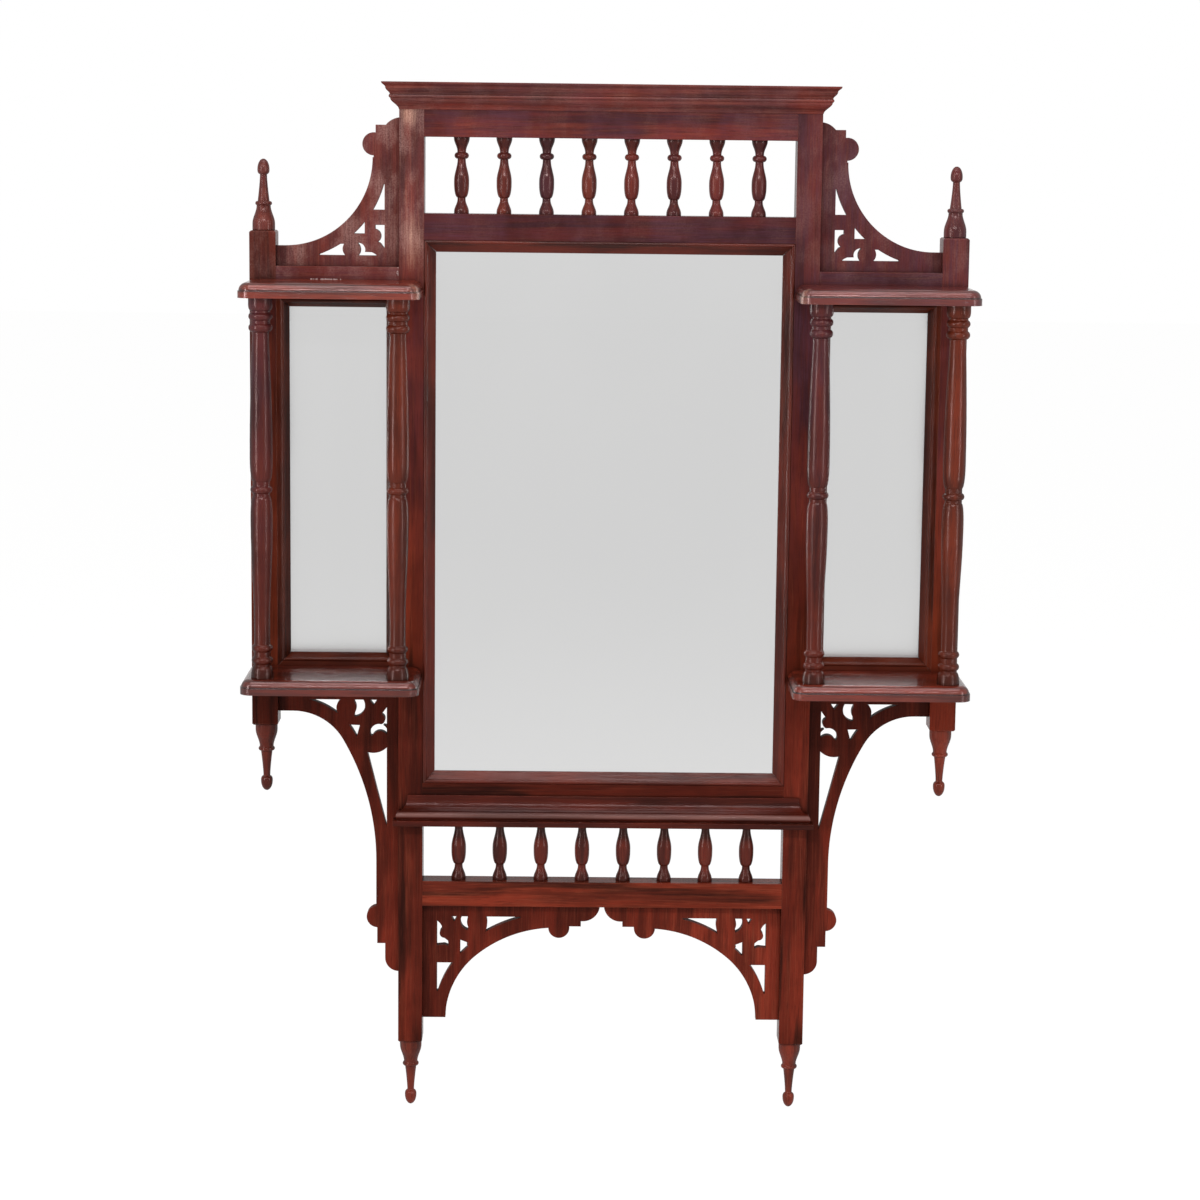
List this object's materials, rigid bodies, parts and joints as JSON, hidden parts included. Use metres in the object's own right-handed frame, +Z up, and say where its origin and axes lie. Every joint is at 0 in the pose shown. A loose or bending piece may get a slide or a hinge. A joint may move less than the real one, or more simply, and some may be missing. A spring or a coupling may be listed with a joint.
{
  "type": "wall mirror",
  "caption": "Tall hardwood wall mirror with a cornice, spindle galleries, fretted brackets, finials and narrow side mirrors behind shelf bays with turned columns.",
  "frame": {"origin": "on the wall plane, midway between the two round entry holes of the keyhole hangers", "axes": "+Z up, +X to the viewer's right, +Y into the wall, so the mirror faces -Y"},
  "size_m": [0.732, 0.122, 1.0635],
  "materials": {
    "frame_wood": "dark reddish brown varnish, semi-gloss, fine straight grain",
    "turned_wood": "dark reddish brown varnish over turned wood, glossy",
    "mirror_glass": "silvered float glass",
    "plywood": "plain unfinished plywood",
    "steel": "zinc-plated steel"
  },
  "bodies": {
    "root": {"stile_left": "frame_wood", "stile_right": "frame_wood", "top_rail": "frame_wood", "upper_gallery_rail": "frame_wood", "mirror_bottom_rail": "frame_wood", "lower_rail": "frame_wood", "cornice": "frame_wood", "ledge": "frame_wood", "foot_finial_left": "turned_wood", "foot_finial_right": "turned_wood", "main_glass": "mirror_glass", "main_moulding": "frame_wood", "center_bracket_left": "frame_wood", "center_bracket_right": "frame_wood", "upper_spindle_1": "turned_wood", "upper_spindle_2": "turned_wood", "upper_spindle_3": "turned_wood", "upper_spindle_4": "turned_wood", "upper_spindle_5": "turned_wood", "upper_spindle_6": "turned_wood", "upper_spindle_7": "turned_wood", "upper_spindle_8": "turned_wood", "lower_spindle_1": "turned_wood", "lower_spindle_2": "turned_wood", "lower_spindle_3": "turned_wood", "lower_spindle_4": "turned_wood", "lower_spindle_5": "turned_wood", "lower_spindle_6": "turned_wood", "lower_spindle_7": "turned_wood", "lower_spindle_8": "turned_wood", "left_post": "frame_wood", "left_top_finial": "turned_wood", "left_drop_finial": "turned_wood", "left_top_rail": "frame_wood", "left_bottom_rail": "frame_wood", "left_moulding": "frame_wood", "left_glass": "mirror_glass", "left_upper_shelf": "frame_wood", "left_lower_shelf": "frame_wood", "left_column_outer": "turned_wood", "left_column_inner": "turned_wood", "left_upper_bracket": "frame_wood", "left_lower_bracket": "frame_wood", "right_post": "frame_wood", "right_top_finial": "turned_wood", "right_drop_finial": "turned_wood", "right_top_rail": "frame_wood", "right_bottom_rail": "frame_wood", "right_moulding": "frame_wood", "right_glass": "mirror_glass", "right_upper_shelf": "frame_wood", "right_lower_shelf": "frame_wood", "right_column_outer": "turned_wood", "right_column_inner": "turned_wood", "right_upper_bracket": "frame_wood", "right_lower_bracket": "frame_wood", "backboards": "plywood", "hanger_plates": "steel", "board_screws": "steel", "shelf_screws": "steel"}
  },
  "joints": []
}
